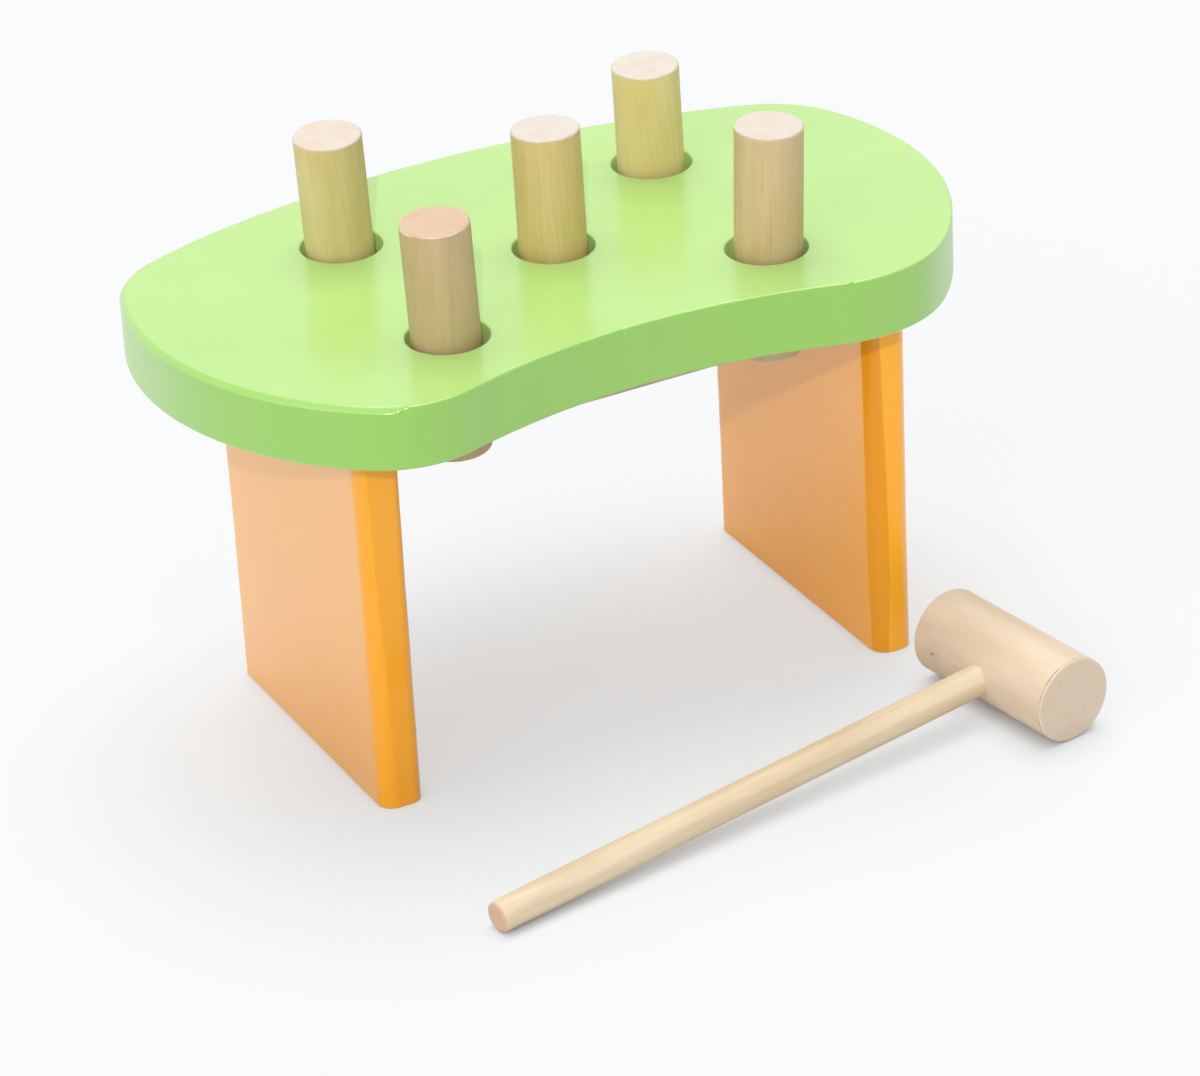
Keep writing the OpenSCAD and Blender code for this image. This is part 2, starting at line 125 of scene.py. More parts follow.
class Nodes:
    """The node tree of a material or of the world, with short ways to add nodes."""

    def __init__(self, owner, output="ShaderNodeOutputMaterial"):
        owner.use_nodes = True
        self.owner, self.tree = owner, owner.node_tree
        self.tree.nodes.clear()
        self.out = self.add(output)

    def add(self, kind, *inputs, **props):
        """A new node with its properties set and its first inputs set or joined."""
        node = self.tree.nodes.new(kind)
        for name, value in props.items():
            setattr(node, name, value)
        for socket, value in zip(node.inputs, inputs):
            self.link(value, socket)
        return node

    def fill(self, node, **inputs):
        """Sets or joins inputs by name. An underscore stands for a space."""
        for name, value in inputs.items():
            self.link(value, node.inputs[name.replace("_", " ")])
        return node

    def link(self, value, socket):
        """Joins a node's output to a socket, or sets the socket to a plain value."""
        if isinstance(value, bpy.types.NodeSocket):
            self.tree.links.new(value, socket)
        else:
            socket.default_value = value

    def math(self, op, a, b=0.0, c=0.0):
        return self.add("ShaderNodeMath", a, b, c, operation=op).outputs[0]

    def chain(self, op, first, *more):
        """The same operation over several values, from left to right."""
        for value in more:
            first = self.math(op, first, value)
        return first

    def plus(self, *values):
        return self.chain("ADD", *values)

    def minus(self, *values):
        return self.chain("SUBTRACT", *values)

    def times(self, *values):
        return self.chain("MULTIPLY", *values)

    def hypot(self, a, b):
        return self.math("SQRT", self.plus(self.times(a, a), self.times(b, b)))

    def vec(self, op, a, b=(0, 0, 0)):
        node = self.add("ShaderNodeVectorMath", a, b, operation=op)
        return node.outputs["Value" if op == "LENGTH" else "Vector"]

    def stretch(self, v, x, y, z):
        return self.vec("MULTIPLY", v, (x, y, z))

    def split(self, v):
        return self.add("ShaderNodeSeparateXYZ", v).outputs

    def join(self, x, y, z):
        return self.add("ShaderNodeCombineXYZ", x, y, z).outputs[0]

    def object_coords(self):
        return self.add("ShaderNodeTexCoord").outputs["Object"]

    def bench_coords(self):
        """Coordinates in the frame that all pieces share, in mm."""
        return self.stretch(self.object_coords(), 1000, 1000, 1000)

    def local(self, matrix):
        """Coordinates in a piece's own frame, in mm."""
        node = self.add("ShaderNodeMapping", vector_type="TEXTURE")
        self.fill(node, Vector=self.object_coords(), Location=matrix.to_translation() * MM,
                  Rotation=matrix.to_euler(), Scale=(MM, MM, MM))
        return node.outputs[0]

    def noise(self, v, scale, detail, rough):
        node = self.add("ShaderNodeTexNoise")
        return self.fill(node, Vector=v, Scale=scale, Detail=detail, Roughness=rough).outputs["Fac"]

    def range(self, v, lo, hi, a=0.0, b=1.0, smooth=False):
        """Maps lo to hi onto a to b, and stays at a or b outside of them."""
        kind = "SMOOTHSTEP" if smooth else "LINEAR"
        return self.add("ShaderNodeMapRange", v, lo, hi, a, b, interpolation_type=kind).outputs[0]

    def mix(self, fac, a, b):
        """Colour a with a share fac of colour b."""
        node = self.add("ShaderNodeMix", data_type="RGBA")
        for place, value in ((0, fac), (6, a), (7, b)):
            self.link(value, node.inputs[place])
        return node.outputs[2]

    def mix_shaders(self, fac, a, b):
        return self.add("ShaderNodeMixShader", fac, a.outputs[0], b.outputs[0])

    def bump(self, height, distance, strength):
        node = self.add("ShaderNodeBump")
        return self.fill(node, Strength=strength, Distance=distance, Height=height).outputs[0]

    def surface(self, shader):
        """Ends the tree with a shader, and gives back its material or world."""
        self.link(shader.outputs[0], self.out.inputs["Surface"])
        return self.owner

    def finish(self, color, rough, normal, **more):
        shader = self.add("ShaderNodeBsdfPrincipled")
        return self.surface(self.fill(shader, Base_Color=color, Roughness=rough, Normal=normal, **more))


def new_material(name):
    return Nodes(bpy.data.materials.new(name))


def bench_place(x=0.0, y=0.0, z=0.0):
    return Matrix.Translation((x + SET_X, y + SET_Y, z))


def rotation(degrees, axis):
    return Matrix.Rotation(math.radians(degrees), 4, axis)


def peg_matrix(name):
    stand, lean, pitch = PEGS[name]
    x, y = HOLES[name]
    foot = Matrix.Translation((0, 0, TOP - RING_MID + stand - PEG_LEN))
    return bench_place(x, y, RING_MID) @ (rotation(-lean, "Y") @ rotation(pitch, "X")) @ foot


def mallet_matrix():
    end, drop = HANDLE_REACH - HANDLE_END, HANDLE_R - HANDLE_END
    tilt = math.asin((HEAD_R - HANDLE_END) / math.hypot(end, drop)) - math.atan2(drop, end)
    place = bench_place(MALLET_X, MALLET_Y, HEAD_R)
    return place @ rotation(MALLET_TURN, "Z") @ Matrix.Rotation(tilt, 4, "Y")


def inside(p, loop):
    """Whether a point lies inside a closed loop."""
    a, b = loop, np.roll(loop, -1, 0)
    cross = (a[:, 1] > p[1]) != (b[:, 1] > p[1])
    a, b = a[cross], b[cross]
    at = a[:, 0] + (p[1] - a[:, 1]) * (b[:, 0] - a[:, 0]) / (b[:, 1] - a[:, 1])
    return (p[0] < at).sum() % 2 == 1


def ring_normals(rows):
    """Normals of levels of points, where each level closes on itself."""
    along = np.roll(rows, -1, 1) - np.roll(rows, 1, 1)
    normals = np.cross(along, np.gradient(rows, axis=0))
    return normals / (np.linalg.norm(normals, axis=2, keepdims=True) + 1e-12)


class Form:
    """A surface gathered from grids and caps, with its own normal at each face's corner."""

    def __init__(self):
        self.points, self.faces, self.normals, self.count = [], [], [], 0

    def add(self, pts, faces, normals):
        self.points.append(pts)
        self.faces.append(faces + self.count)
        self.normals.append(normals)
        self.count += len(pts)

    def grid(self, rows, normals=None):
        """rows is levels x points x 3, and each level closes on itself."""
        rows = np.asarray(rows, float)
        if normals is None:
            normals = ring_normals(rows)
        m, n = rows.shape[:2]
        ids = np.arange(m * n).reshape(m, n)
        ids, nr = np.hstack([ids, ids[:, :1]]), np.hstack([normals, normals[:, :1]])
        quads = np.stack([ids[:-1, :-1], ids[:-1, 1:], ids[1:, 1:], ids[1:, :-1]], -1)
        quad_normals = np.stack([nr[:-1, :-1], nr[:-1, 1:], nr[1:, 1:], nr[1:, :-1]], 2)
        self.add(rows.reshape(-1, 3), quads.reshape(-1, 4), quad_normals.reshape(-1, 4, 3))

    def flat(self, outline, z, up, holes=()):
        """A level face inside an outline, with round holes given as (centre, radius, ring of points)."""
        loops = [np.asarray(outline)[:, :2]] + [np.asarray(h)[:, :2] for _, _, h in holes]
        pts = np.vstack(loops)
        edges, start = [], 0
        for loop in loops:
            k = len(loop)
            edges += [(start + i, start + (i + 1) % k) for i in range(k)]
            start += k
        rim = [list(range(len(loops[0])))]
        out = delaunay_2d_cdt([Vector(p) for p in pts], edges, rim, 1, 1e-5, True)
        origin = [o[0] for o in out[3]]
        tris = []
        for tri in out[2]:
            tri = [origin[i] for i in tri]
            a, b, c = (pts[i] for i in tri)
            mid = (a + b + c) / 3
            in_hole = any(math.dist(mid, centre) < r * 0.999 for centre, r, _ in holes)
            if in_hole or not inside(mid, loops[0]):
                continue
            ccw = (b[0] - a[0]) * (c[1] - a[1]) - (b[1] - a[1]) * (c[0] - a[0]) > 0
            tris.append(tri if ccw == up else tri[::-1])
        n = np.zeros((len(tris), 3, 3))
        n[..., 2] = 1 if up else -1
        self.add(np.column_stack([pts, np.full(len(pts), z)]), np.array(tris), n)

    def build(self, name, material, matrix):
        """One object of all that was gathered, with points that meet joined into one."""
        pts = np.vstack(self.points)
        keys, inverse = np.unique(np.round(pts, 4), axis=0, return_inverse=True)
        inverse = inverse.ravel()
        first = np.zeros(len(keys), int)
        first[inverse[::-1]] = np.arange(len(pts))[::-1]
        m = np.array(matrix)
        verts = pts[first] @ m[:3, :3].T + m[:3, 3]
        faces, normals = [], []
        for block, block_normals in zip(self.faces, self.normals):
            ids = inverse[block]
            block_normals = block_normals @ m[:3, :3].T
            same = ids == np.roll(ids, -1, 1)
            whole = ~same.any(1)
            faces += ids[whole].tolist()
            normals.append(block_normals[whole].reshape(-1, 3))
            # Faces with joined corners stay if at least a triangle is left of them
            for f, d, s in zip(ids[~whole], block_normals[~whole], same[~whole]):
                if (~s).sum() >= 3:
                    faces.append(f[~s].tolist())
                    normals.append(d[~s])
        mesh = bpy.data.meshes.new(name)
        mesh.from_pydata((verts * MM).tolist(), [], faces)
        mesh.polygons.foreach_set("use_smooth", [True] * len(mesh.polygons))
        mesh.normals_split_custom_set(np.vstack(normals).tolist())
        mesh.materials.append(material)
        o = bpy.data.objects.new(name, mesh)
        bpy.context.collection.objects.link(o)
        return o


def rand_field(seed, points, scale, octaves=2):
    """Smooth noise from about -1 to 1 at points x 3, in mm over scale."""
    shift = Vector((seed * 17.3, seed * 5.1, seed * 9.7))
    return np.array([noise.fractal(Vector(p) / scale + shift, 0.7, 2.0, octaves) for p in points])


def place_piece(o, body, slot, *nodes):
    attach(o, body)
    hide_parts(*nodes)


# Bare wood: offset of the pith from a piece's axis, gap between growth rings in mm, tone of stained end grain
PITH_X, PITH_Y, RING_GAP, END_STAIN = 30.0, 12.0, 2.4, (0.97, 0.9, 0.86, 1)


def wood(name, matrix, base, dark, light, seed, length, ring_depth=0.26, fleck=0.16, fibres=0.13,
         end_tint=None, cracks=(), knots=(), rim_mark=None):
    """Bare wood whose grain runs along the piece's own Z, with growth rings about an offset pith.

    A crack has an angle, two heights, a width and a depth, and a knot an angle, a height and a size.
    The mark on the rim has its distance from the top, width, colour and depth."""
    n = new_material(name)
    # Each piece comes from its own stretch of the timber
    stretch_at = seed * 137.0
    p = n.vec("ADD", n.local(matrix), (0, 0, stretch_at))
    x, y, z = n.split(p)
    local_z = n.minus(z, stretch_at)

    bend = n.noise(n.stretch(p, 0.5, 0.5, 0.12), 0.06, 2, 0.5)
    wander = n.times(n.minus(bend, 0.5), 22.0)
    radius = n.hypot(n.plus(x, PITH_X, wander), n.plus(y, PITH_Y))
    uneven = n.noise(n.join(radius, seed * 3.1, 0.0), 0.35, 3, 0.6)
    ring = n.math("FRACT", n.plus(n.math("DIVIDE", radius, RING_GAP), n.times(uneven, 1.5)))
    ring = n.times(n.math("POWER", ring, 2.5), n.range(ring, 1.0, 0.9))
    strength = n.noise(n.join(radius, seed * 5.3, n.times(z, 0.01)), 0.22, 1, 0.5)
    ring = n.times(ring, n.range(strength, 0.3, 0.7, 0.25, 1.0), ring_depth)
    fibre = n.noise(n.stretch(p, 2.2, 2.2, 0.07), 1.0, 4, 0.65)
    broad = n.noise(n.stretch(p, 0.12, 0.12, 0.02), 1.0, 2, 0.5)
    flecks = n.noise(n.stretch(p, 1.6, 1.6, 0.45), 1.0, 2, 0.6)
    fleck_mask = n.times(n.range(flecks, 0.64, 0.72, 0.0, 1.0, True), fleck)

    c = n.mix(n.range(broad, 0.3, 0.7), base, light)
    c = n.mix(n.range(fibre, 0.35, 0.75, 0.0, fibres), c, dark)
    c = n.mix(ring, c, dark)
    c = n.mix(fleck_mask, c, deeper(dark, 0.72))
    r = n.plus(n.times(fibre, 0.18), 0.46)
    height = n.minus(n.times(fibre, 0.7), n.times(fleck_mask, 1.2))

    def near_ends(none, full):
        """Rises from 0 to 1 between two distances from either end."""
        return n.math("MAXIMUM", n.range(local_z, none, full), n.range(local_z, length - none, length - full))

    if end_tint:
        pores = n.noise(n.stretch(p, 3.5, 3.5, 0.0), 1.0, 3, 0.7)
        stain = n.noise(n.join(n.times(x, 0.16), n.times(y, 0.16), seed * 2.7), 1.0, 2, 0.5)
        tip = n.mix(n.range(stain, 0.4, 0.75), end_tint, tuple(a * b for a, b in zip(end_tint, END_STAIN)))
        tip = n.mix(n.times(ring, 0.35), tip, dark)
        tip = n.mix(n.range(pores, 0.5, 0.8, 0.0, 0.2), tip, dark)
        c = n.mix(n.times(near_ends(1.6, 0.5), 0.35), c, end_tint)
        c = n.mix(near_ends(0.75, 0.525), c, tip)

    if cracks or knots:
        direction, reach = n.math("ARCTAN2", y, x), n.hypot(x, y)

    def across(angle):
        """Way round the piece from an angle, in mm."""
        return n.times(n.math("WRAP", n.minus(direction, angle), math.pi, -math.pi), reach)

    if cracks:
        sway = n.times(n.minus(n.noise(n.join(0.0, seed * 1.7, z), 0.11, 3, 0.6), 0.5), 1.6)
        broken = n.range(n.noise(n.join(seed * 4.1, 0.0, z), 0.3, 2, 0.5), 0.3, 0.55, 0.15, 1.0)
    for angle, z0, z1, width, depth in cracks:
        off = n.math("ABSOLUTE", n.plus(across(angle), sway))
        part = n.times(n.range(local_z, z0, z0 + 2.5), n.range(local_z, z1, z1 - 2.5))
        line = n.times(n.range(off, width, width * 0.15, 0, 1, True), part, broken, depth)
        c = n.mix(line, c, deeper(dark, 0.55))
        height = n.minus(height, n.times(line, 2.5))
    for angle, at_z, size in knots:
        d = n.vec("LENGTH", n.join(across(angle), n.times(n.minus(local_z, at_z), 0.6), 0.0))
        d = n.plus(d, n.times(n.noise(p, 0.7, 2, 0.5), 0.6))
        core = n.range(d, size * 0.5, size * 0.2, 0, 1, True)
        c = n.mix(n.range(d, size * 2.2, size * 0.5, 0, 0.45, True), c, dark)
        c = n.mix(n.times(core, 0.75), c, deeper(dark, 0.3))
        height = n.minus(height, n.times(core, 5.0))

    if rim_mark:
        from_top, wide, mark, depth = rim_mark
        patches = n.noise(n.join(n.times(x, 0.12), n.times(y, 0.12), seed * 0.7), 1.0, 2, 0.5)
        off = n.math("ABSOLUTE", n.minus(local_z, length - from_top))
        c = n.mix(n.times(n.range(off, wide, wide * 0.4, 0, depth), n.range(patches, 0.35, 0.6)), c, mark)
    return n.finish(c, r, n.bump(height, 0.00012, 0.6), Specular_IOR_Level=0.45)


# Walls of the holes: green paint near the top and a tan further down, both lightened well past the board's own
# colours as painted light
HOLE_LIT_GREEN, HOLE_LIT_TAN = lin(206, 250, 142), lin(205, 182, 128)


def paint(name, base, lighter, darker, seed, coat_rough, coat_ior, coat_end, spec, sheen,
          side=None, left=0.0, corner_shade=0.0):
    """Satin paint sprayed on sanded wood: faint grain telegraphs through it.

    side is a darker, more saturated green that the board's side and edges get as painted shade. left and
    corner_shade say how much darker the left leg and the right leg's front left corner are painted, both as
    painted shade, and coat_end how much gloss is left where the paint is seen edge on."""
    n = new_material(name)
    p = n.bench_coords()
    x, y, z = n.split(p)
    cloud = n.noise(n.vec("ADD", p, (seed * 31, 0, 0)), 0.018, 3, 0.55)
    peel = n.noise(p, 0.9, 2, 0.5)
    grain = n.noise(n.stretch(p, 0.05, 0.9, 0.9), 1.0, 3, 0.6)
    c = n.mix(n.range(cloud, 0.35, 0.65), base, lighter)
    c = n.mix(n.range(grain, 0.4, 0.8, 0.0, 0.12), c, darker)
    to_right, to_back, up = n.split(n.add("ShaderNodeTexCoord").outputs["Normal"])
    if left:
        # Painted shade: the whole left leg is toned darker than the right one
        c = n.mix(n.range(x, SET_X + 1, SET_X - 1, 0.0, left), c, darker)
    if side:
        off = n.chain("MINIMUM", *(n.vec("LENGTH", n.join(n.minus(x, hx + SET_X), n.minus(y, hy + SET_Y), 0.0))
                                   for hx, hy in HOLES.values()))
        # Painted shade: the side and the worked edges are toned darker wherever the face turns from level,
        # least on the sanded band at the left end
        worked = n.range(n.math("ABSOLUTE", up), 0.98, 0.85, 0.0, 0.7)
        worked = n.times(worked, n.range(off, HOLE_R + RIM + 0.5, HOLE_R + RIM + 1.0))
        band = n.times(n.range(up, 0.2, 0.45), n.range(x, SET_X - 90, SET_X - 100))
        c = n.mix(worked, c, n.mix(band, side, darker))
        # Painted light: the hole walls are lightened, green near the top and tan further down
        near = n.range(off, HOLE_R + 0.2, HOLE_R + 0.05)
        ragged = n.noise(n.join(x, y, 0.0), 0.35, 3, 0.6)
        deep = n.range(n.plus(z, n.times(ragged, 5.0)), TOP - 5.0, TOP - 14.0, 0.0, 0.9, True)
        c = n.mix(n.times(near, 0.95), c, HOLE_LIT_GREEN)
        c = n.mix(n.times(near, deep), c, HOLE_LIT_TAN)
    if corner_shade:
        # The front left corner of the right leg is worked flat with a plane, and that strip is toned darker as
        # painted shade
        ragged = n.times(n.noise(n.stretch(p, 0.0, 0.0, 0.08), 1.0, 3, 0.6), 0.1)
        strip = n.times(n.range(n.plus(to_right, ragged), -0.22, -0.34), n.range(to_back, -0.22, -0.34))
        strip = n.times(strip, n.range(x, SET_X, SET_X + 1), corner_shade)
        c = n.mix(strip, c, darker)
    r = n.plus(n.times(cloud, 0.12), 0.24)
    h = n.plus(n.times(peel, 0.5), n.times(grain, 0.7))
    facing = n.add("ShaderNodeLayerWeight").outputs["Facing"]
    coat = n.range(facing, 0.6, 0.86, 1.0, coat_end)
    return n.finish(c, r, n.bump(h, 0.00008, 0.5), Coat_Weight=coat, Coat_Roughness=coat_rough,
                    Coat_IOR=coat_ior, Specular_IOR_Level=spec, Specular_Tint=(0.05, 0.05, 0.05, 1),
                    Sheen_Weight=sheen[0], Sheen_Roughness=sheen[1])


# The green's side tone is a darker, more saturated green laid on the board's side and edges as painted shade
green = paint("green_satin_paint", lin(161, 207, 99), lin(166, 211, 105), lin(139, 190, 83), 1,
              coat_rough=0.22, coat_ior=1.66, coat_end=0.1, spec=0.2, sheen=(0.24, 0.6), side=lin(128, 187, 62))
# The orange is toned darker on the left leg and on the right leg's front left corner, as painted shade
orange = paint("orange_satin_paint", lin(255, 173, 24), lin(255, 178, 32), lin(228, 149, 14), 2,
               coat_rough=0.16, coat_ior=1.45, coat_end=1.0, spec=1.0, sheen=(0.9, 0.28), left=0.5, corner_shade=0.85)


def circles_meet(a, ra, b, rb, side):
    """One of the two points where circles about a and b meet."""
    a, b = np.array(a), np.array(b)
    gap = np.linalg.norm(b - a)
    u = (b - a) / gap
    along = (ra * ra - rb * rb + gap * gap) / (2 * gap)
    across = math.sqrt(max(0.0, ra * ra - along * along))
    return a + along * u + side * across * np.array([-u[1], u[0]])


def bow_centre(a, b, r, side):
    """Centre of the bow round two corner circles."""
    return circles_meet(a[0], r - a[1], b[0], r - b[1], side)


def board_outline():
    """Points and outward directions round the board, anticlockwise."""
    back, left = bow_centre(BACK_LEFT, BACK_RIGHT, BACK_BOW, -1), bow_centre(BACK_LEFT, FRONT_LEFT, LEFT_BOW, 1)
    right = bow_centre(BACK_RIGHT, FRONT_RIGHT, RIGHT_BOW, -1)
    waist = circles_meet(FRONT_LEFT[0], WAIST + FRONT_LEFT[1], FRONT_RIGHT[0], WAIST + FRONT_RIGHT[1], -1)
    # Centre, radius, start and end (a point, and whether the arc's end looks at it), and bulge
    arcs = [(back, BACK_BOW, (BACK_RIGHT[0], 1), (BACK_LEFT[0], 1), 1),
            (*BACK_LEFT, (back, -1), (left, -1), 1),
            (left, LEFT_BOW, (BACK_LEFT[0], 1), (FRONT_LEFT[0], 1), 1),
            (*FRONT_LEFT, (left, -1), (waist, 1), 1),
            (waist, WAIST, (FRONT_RIGHT[0], 1), (FRONT_LEFT[0], 1), -1),
            (*FRONT_RIGHT, (waist, 1), (right, -1), 1),
            (right, RIGHT_BOW, (FRONT_RIGHT[0], 1), (BACK_RIGHT[0], 1), 1),
            (*BACK_RIGHT, (right, -1), (back, -1), 1)]
    pts, out = [], []
    for c, r, start, end, bulge in arcs:
        a, b = (math.atan2(s * (p[1] - c[1]), s * (p[0] - c[0])) for p, s in (start, end))
        sweep = (b - a) % (2 * math.pi)
        n = max(8, round(r * sweep / OUTLINE_STEP))
        t = np.arange(n) / n
        angle = a + sweep * (t if bulge > 0 else 1 - t)
        d = np.column_stack([np.cos(angle), np.sin(angle)])
        pts.append(np.array(c) + r * d)
        out.append(d * bulge)
    return np.vstack(pts), np.vstack(out)


def edge_profile(t, size, flat):
    """Inset and drop across a worked edge, from the top face (t 0) to the side (t 1)."""
    inset = size * ((1 - flat) * (1 - math.sin(t * math.pi / 2)) + flat * (1 - t))
    drop = size * ((1 - flat) * (1 - math.cos(t * math.pi / 2)) + flat * t)
    return inset, drop


def ring_points(centre, r, z):
    a = np.arange(HOLE_POINTS) / HOLE_POINTS * 2 * math.pi
    return np.column_stack([centre[0] + r * np.cos(a), centre[1] + r * np.sin(a), np.full(HOLE_POINTS, z)])


def ramp(v, a, b):
    """Rises smoothly from 0 at a to 1 at b."""
    t = np.clip((v - a) / (b - a), 0, 1)
    return t * t * (3 - 2 * t)


# Small knocks on the board's edge: place on the outline, depth below the top, radius and depth, in mm
KNOCKS = ((74.3, -86.8, 1.2, 1.7, 0.7), (-101.0, -85.3, 0.9, 2.2, 0.6), (-98.6, -86.2, 1.2, 1.2, 0.5),
          (-12.0, -63.6, 0.6, 1.1, 0.3), (118.0, -74.0, 0.7, 1.0, 0.3), (-146.6, 20.0, 0.6, 1.3, 0.3),
          (40.0, 91.5, 0.5, 1.2, 0.3))


def board_rows():
    """Levels of the board's side, from its underside to its top."""
    pts, out = board_outline()
    n = len(pts)
    at = np.column_stack([pts, np.zeros(n)])
    azimuth = np.degrees(np.arctan2(pts[:, 1], pts[:, 0])) % 360
    # The sanded band runs round the left end and stops on the front left lobe
    band = ramp(azimuth, 140, 160) * (1 - ramp(azimuth, 218.5, 221))
    slow, quick = rand_field(3, at, 14), rand_field(4, at, 2.2, 3)
    top_size = band * (2.0 + 0.12 * slow) + (1 - band) * (0.6 + 0.1 * slow + 0.2 * quick)
    top_flat = band * 0.7 + (1 - band) * 0.35
    low_size = 1.0 + 0.15 * slow
    wave = 0.06 + 0.04 * rand_field(5, at, 30)
    steps = (0, 0.04, 0.12, 0.25, 0.4, 0.55, 0.7, 0.82, 0.91, 0.97, 1)
    rows = []

    def row(inset, z):
        inset = np.maximum(inset + wave, LEAST_HOLLOW)
        rows.append(np.column_stack([pts - out * (inset[:, None] + MARGIN), z]))

    for t in steps:
        inset, drop = edge_profile(t, low_size, 0.3)
        row(inset, BOTTOM + drop)
    for k in range(1, 8):
        t = k / 8
        row(np.zeros(n), (BOTTOM + low_size) * (1 - t) + (TOP - top_size) * t)
    for t in steps[::-1]:
        inset, drop = edge_profile(t, top_size, top_flat)
        row(inset, TOP - drop)
    rows = np.array(rows)
    for x, y, below, r, depth in KNOCKS:
        i = np.argmin(np.hypot(pts[:, 0] - x, pts[:, 1] - y))
        centre = np.append(pts[i] - out[i] * 0.4, TOP - below)
        d = np.linalg.norm(rows - centre, axis=2)
        push = depth * np.clip(1 - (d / r) ** 2, 0, 1)
        rows[..., :2] -= out[None] * push[..., None] * 0.8
        rows[:-1, :, 2] -= (push * 0.4)[:-1]
    return rows


def make_board():
    rows = board_rows()
    f = Form()
    f.grid(rows)
    tops, lows = [], []
    for c in HOLES.values():
        rounded = [edge_profile(t, RIM, 0.0) for t in (0, 0.12, 0.3, 0.5, 0.7, 0.88, 1)]
        levels = [ring_points(c, HOLE_R + inset, TOP - drop) for inset, drop in rounded]
        levels += [ring_points(c, HOLE_R, z) for z in np.linspace(TOP - RIM, BOTTOM + SEAT_H, 7)[1:]]
        f.grid(levels)
        f.grid([ring_points(c, r, BOTTOM + SEAT_H) for r in (HOLE_R, SEAT_R)])
        f.grid([ring_points(c, SEAT_R, z) for z in (BOTTOM + SEAT_H, BOTTOM)])
        tops.append((c, HOLE_R + RIM, levels[0]))
        lows.append((c, SEAT_R, ring_points(c, SEAT_R, BOTTOM)))
    f.flat(rows[-1], TOP, True, tops)
    f.flat(rows[0], BOTTOM, False, lows)
    place_piece(f.build("painted_board", green, bench_place()), "bench", "green_paint", "bench_board")


# A leg's corners, anticlockwise from the front right: its signs, and the directions of the two faces that meet
LEG_CORNERS = (((1, -1), (0, -1), (1, 0)), ((1, 1), (1, 0), (0, 1)),
               ((-1, 1), (0, 1), (-1, 0)), ((-1, -1), (-1, 0), (0, -1)))


def make_leg(name, side, corners):
    """corners: size at the top and foot, flatness at both, and how far the top leans into the first face."""
    hx, hy = LEG_T / 2, LEG_W / 2
    steps = (0, 0.06, 0.14, 0.24, 0.34, 0.44, 0.54, 0.64, 0.74, 0.84, 0.93, 1)
    levels = [edge_profile(t, 0.35, 0.2) for t in (0, 0.2, 0.4, 0.6, 0.8, 1)]
    levels += [(0.0, z) for z in np.linspace(3, BOTTOM, 36)]
    rows = []
    for inset, z in levels:
        loop = []
        for k, ((cx, cy), na, nb) in enumerate(LEG_CORNERS):
            high, low, flat, foot_flat, skew = corners[k]
            skew *= (z / BOTTOM) ** 2
            size = low + (high - low) * z / BOTTOM
            flat = foot_flat + (flat - foot_flat) * min(1.0, z / 60)
            size += 0.25 * noise.fractal(Vector((k * 9.1 + side * 3.3, z / 18, 0.5)), 0.7, 2.0, 2)
            corner = np.array([cx * (hx - inset), cy * (hy - inset)])
            na, nb = np.array(na), np.array(nb)
            for t in steps:
                ins, drop = edge_profile(t, size, flat)
                loop.append(corner - nb * ins * (1 + skew) - na * drop * (1 - skew))
            # The flat face on to the next corner
            (cx, cy), _, nb = LEG_CORNERS[(k + 1) % 4]
            high, low, _, _, skew = corners[(k + 1) % 4]
            size = (low + (high - low) * z / BOTTOM) * (1 + skew * (z / BOTTOM) ** 2)
            start, end = loop[-1], np.array([cx * (hx - inset), cy * (hy - inset)]) - np.array(nb) * size
            many = 24 if k % 2 == 0 else 5
            loop += [start + (end - start) * i / many for i in range(1, many)]
        loop = np.array(loop)
        rows.append(np.column_stack([loop, np.full(len(loop), z)]))
    f = Form()
    f.grid(rows)
    f.flat(rows[0], 0.0, False)
    f.flat(rows[-1], BOTTOM, True)
    o = f.build("painted_" + name, orange, bench_place(side * LEG_X, LEG_Y, 0))
    place_piece(o, "bench", "orange_paint", name)


def turned_piece(name, material, matrix, levels, points, shape):
    """A piece turned about Z from (radius, height) levels, which shape then works on."""
    a = np.arange(points) / points * 2 * math.pi
    rows = shape(np.array([[(r * math.cos(t), r * math.sin(t), z) for t in a] for r, z in levels]), a)
    normals = ring_normals(rows)
    normals[0], normals[-1] = (0, 0, -1), (0, 0, 1)
    f = Form()
    f.grid(rows, normals)
    return f.build(name, material, matrix)


def worked_ends(radius, length, low, high, flat=0.5, body=40):
    """Levels of a turned piece: flat end, worked edge, side, worked edge, flat end."""
    steps = (0, 0.05, 0.15, 0.3, 0.45, 0.6, 0.75, 0.88, 0.96, 1)
    first, last = ([edge_profile(t, size, flat) for t in steps] for size in (low, high))
    return ([(r, 0.0) for r in np.linspace(0, radius - low - 0.05, 8)]
            + [(radius - inset, drop) for inset, drop in first]
            + [(radius, z) for z in np.linspace(low, length - high, body)[1:-1]]
            + [(radius - inset, length - drop) for inset, drop in last[::-1]]
            + [(r, length) for r in np.linspace(radius - high - 0.05, 0, 8)])


def circle(a, size, height):
    """Places in the noise round a circle."""
    return [Vector((math.cos(t) * size, math.sin(t) * size, height)) for t in a]


def drawn_in(r, by):
    """Scale that draws radii in by so many mm."""
    return np.where(r > AXIS, (r - by) / np.maximum(r, AXIS), 1.0)


